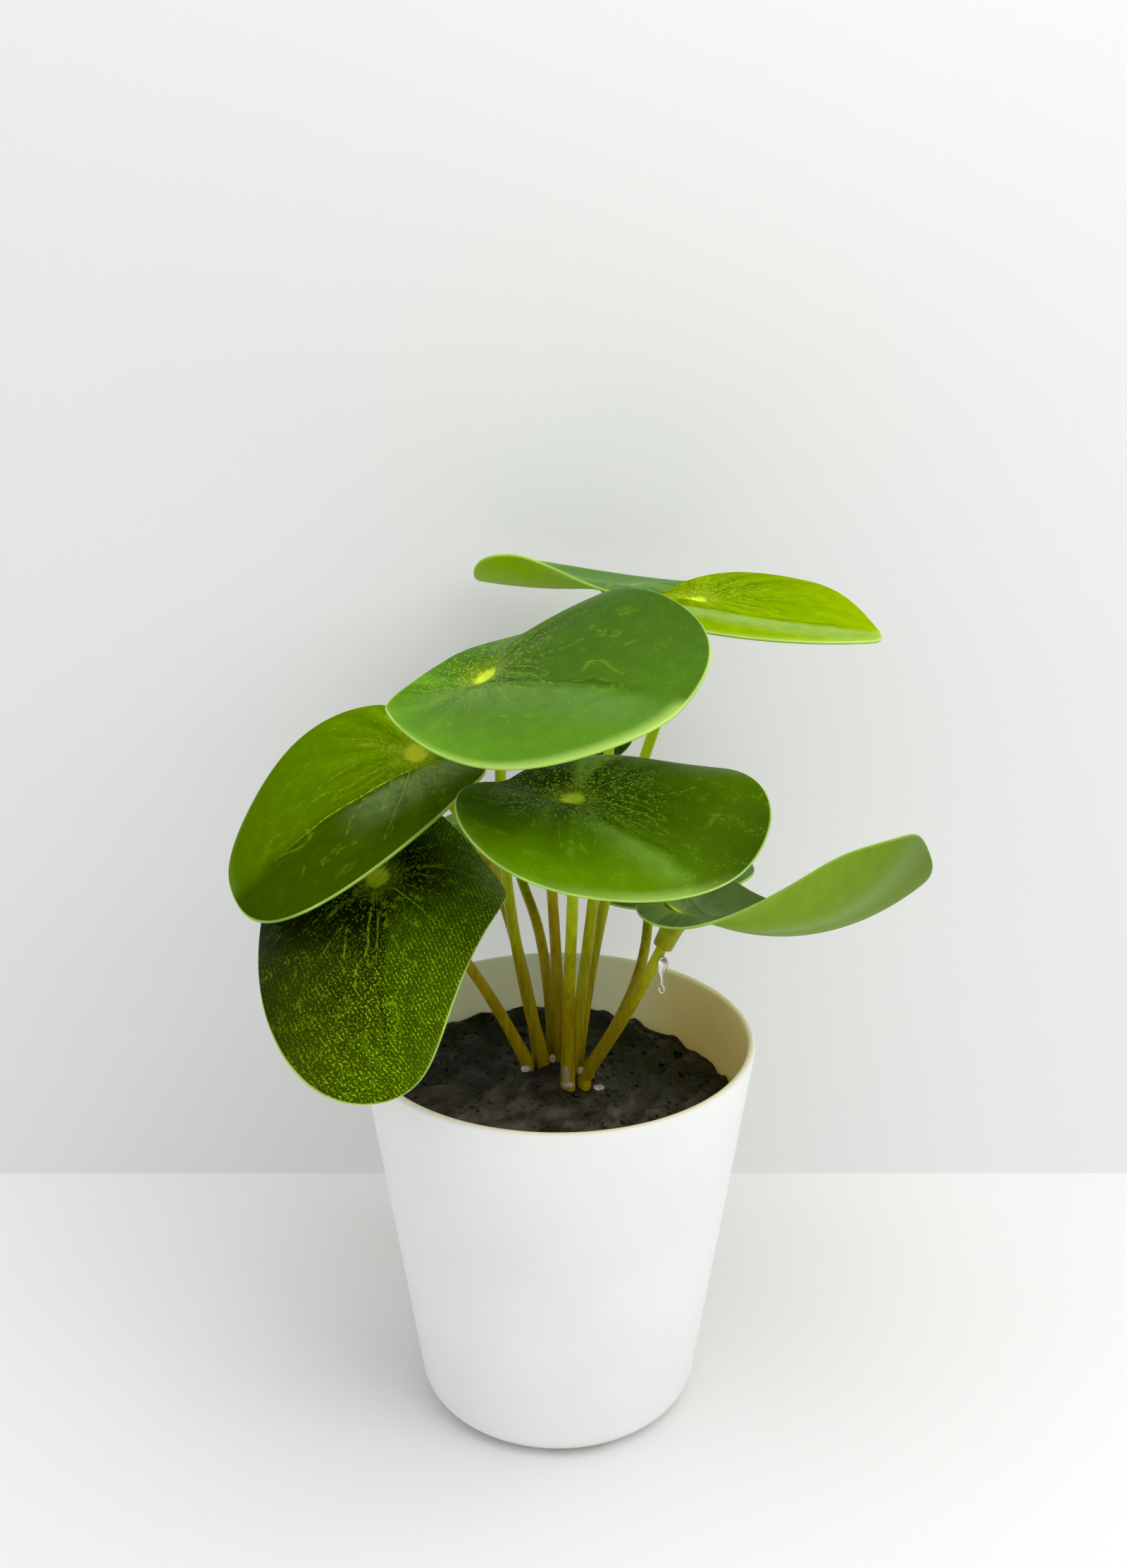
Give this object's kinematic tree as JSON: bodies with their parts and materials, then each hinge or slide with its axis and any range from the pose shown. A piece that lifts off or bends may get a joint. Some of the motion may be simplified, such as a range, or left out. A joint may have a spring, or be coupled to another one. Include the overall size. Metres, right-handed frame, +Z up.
{
  "type": "potted plant",
  "caption": "Small artificial pilea: round dished leaves with moulded sockets on slender curved stems, standing in cast soil in a plain tapered pot.",
  "frame": {"origin": "centre of the pot's foot, on the surface that the pot stands on", "axes": "+Z up; +X to the right and +Y away from the viewer, as the picture sees the plant"},
  "size_m": [0.1556, 0.1449, 0.1996],
  "materials": {
    "pot": "fine matte white outside, cream inside",
    "soil": "near-black, lumpy, satin with a few glossy spots",
    "leaf": "satin green, paler along the margin and the veins",
    "stem": "satin olive brown, greener towards the leaf",
    "glue": "clear, glossy"
  },
  "bodies": {
    "root": {"pot": "pot", "soil": "soil", "leaf_1": "leaf", "stem_1": "stem", "leaf_2": "leaf", "stem_2": "stem", "leaf_3": "leaf", "stem_3": "stem", "leaf_4": "leaf", "stem_4": "stem", "leaf_5": "leaf", "stem_5": "stem", "leaf_6": "leaf", "stem_6": "stem", "leaf_7": "leaf", "stem_7": "stem", "leaf_8": "leaf", "stem_8": "stem", "leaf_9": "leaf", "stem_9": "stem", "leaf_10": "leaf", "stem_10": "stem", "glue_drip": "glue"}
  },
  "joints": []
}
